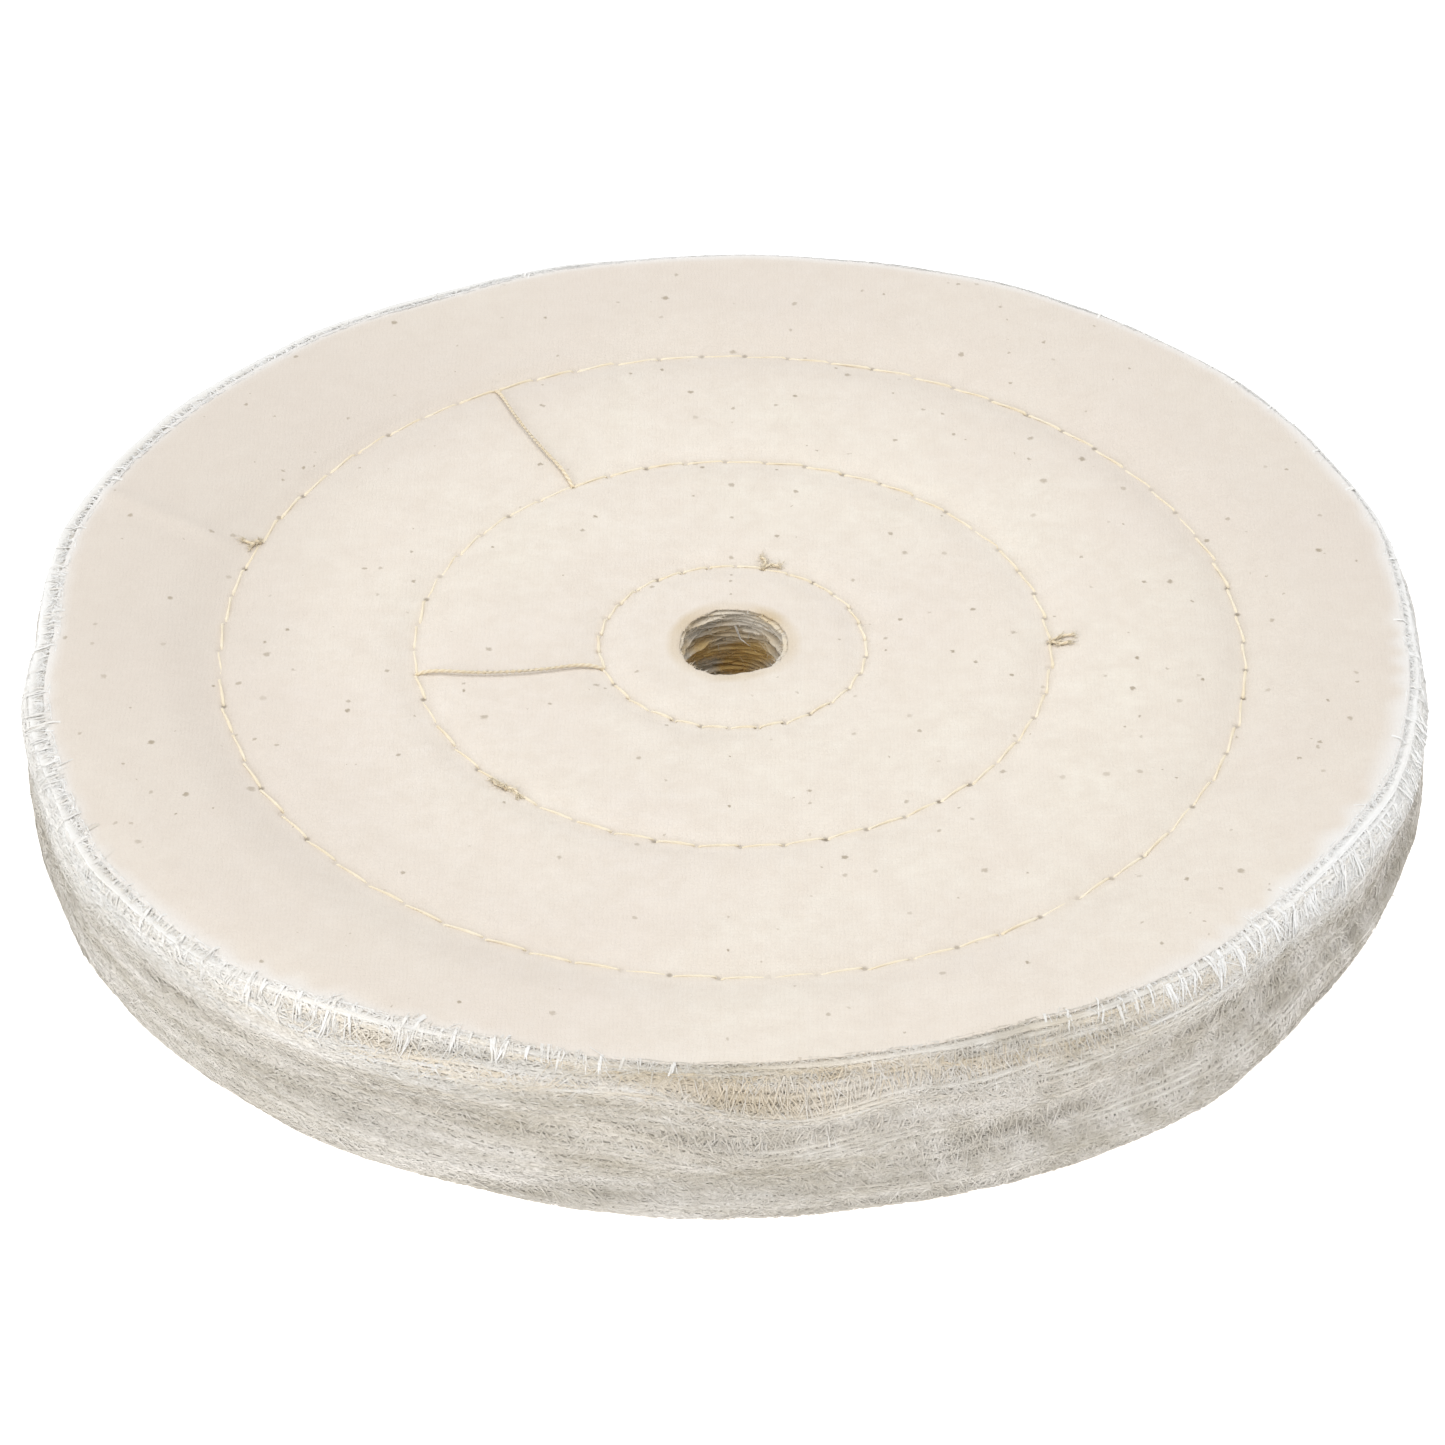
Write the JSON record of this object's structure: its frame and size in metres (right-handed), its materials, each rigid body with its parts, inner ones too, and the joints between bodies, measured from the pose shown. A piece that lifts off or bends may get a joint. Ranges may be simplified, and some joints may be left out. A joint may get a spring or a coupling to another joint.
{
  "type": "stitched cotton buffing wheel",
  "caption": "Soft buffing wheel: a stack of round calico plies with a plain arbor hole, sewn together by concentric rings of lockstitch, with a loose frayed rim.",
  "frame": {"origin": "centre of the arbor hole at half the wheel's thickness", "axes": "+Z along the arbor hole, out of the face that shows the needle thread; the wheel lies flat on its lower face; +X and +Y in the plane of the plies"},
  "size_m": [0.15, 0.15, 0.016],
  "materials": {
    "face_calico": "matte unbleached plain-weave calico, cream, with small seed flecks",
    "inner_calico": "matte unbleached calico seen at its cut and frayed edge, grey cream",
    "sewing_thread": "matte twisted cotton thread, tan cream"
  },
  "bodies": {
    "root": {"face_ply_bottom": "face_calico", "ply_02": "inner_calico", "ply_03": "inner_calico", "ply_04": "inner_calico", "ply_05": "inner_calico", "ply_06": "inner_calico", "ply_07": "inner_calico", "ply_08": "inner_calico", "ply_09": "inner_calico", "ply_10": "inner_calico", "ply_11": "inner_calico", "ply_12": "inner_calico", "ply_13": "inner_calico", "ply_14": "inner_calico", "ply_15": "inner_calico", "ply_16": "inner_calico", "ply_17": "inner_calico", "ply_18": "inner_calico", "ply_19": "inner_calico", "ply_20": "inner_calico", "ply_21": "inner_calico", "ply_22": "inner_calico", "ply_23": "inner_calico", "ply_24": "inner_calico", "ply_25": "inner_calico", "ply_26": "inner_calico", "ply_27": "inner_calico", "ply_28": "inner_calico", "ply_29": "inner_calico", "ply_30": "inner_calico", "ply_31": "inner_calico", "ply_32": "inner_calico", "ply_33": "inner_calico", "ply_34": "inner_calico", "ply_35": "inner_calico", "ply_36": "inner_calico", "ply_37": "inner_calico", "ply_38": "inner_calico", "ply_39": "inner_calico", "face_ply_top": "face_calico", "needle_thread_inner_seam": "sewing_thread", "needle_thread_middle_seam": "sewing_thread", "needle_thread_outer_seam": "sewing_thread", "bobbin_thread_inner_seam": "sewing_thread", "bobbin_thread_middle_seam": "sewing_thread", "bobbin_thread_outer_seam": "sewing_thread", "needle_jump_inner_to_middle": "sewing_thread", "needle_jump_middle_to_outer": "sewing_thread", "bobbin_jump_inner_to_middle": "sewing_thread", "bobbin_jump_middle_to_outer": "sewing_thread", "needle_tails_inner_seam": "sewing_thread", "needle_tails_middle_seam_start": "sewing_thread", "needle_tails_middle_seam_end": "sewing_thread", "needle_tails_outer_seam": "sewing_thread", "bobbin_tails_inner_seam": "sewing_thread", "bobbin_tails_middle_seam_start": "sewing_thread", "bobbin_tails_middle_seam_end": "sewing_thread", "bobbin_tails_outer_seam": "sewing_thread"}
  },
  "joints": []
}
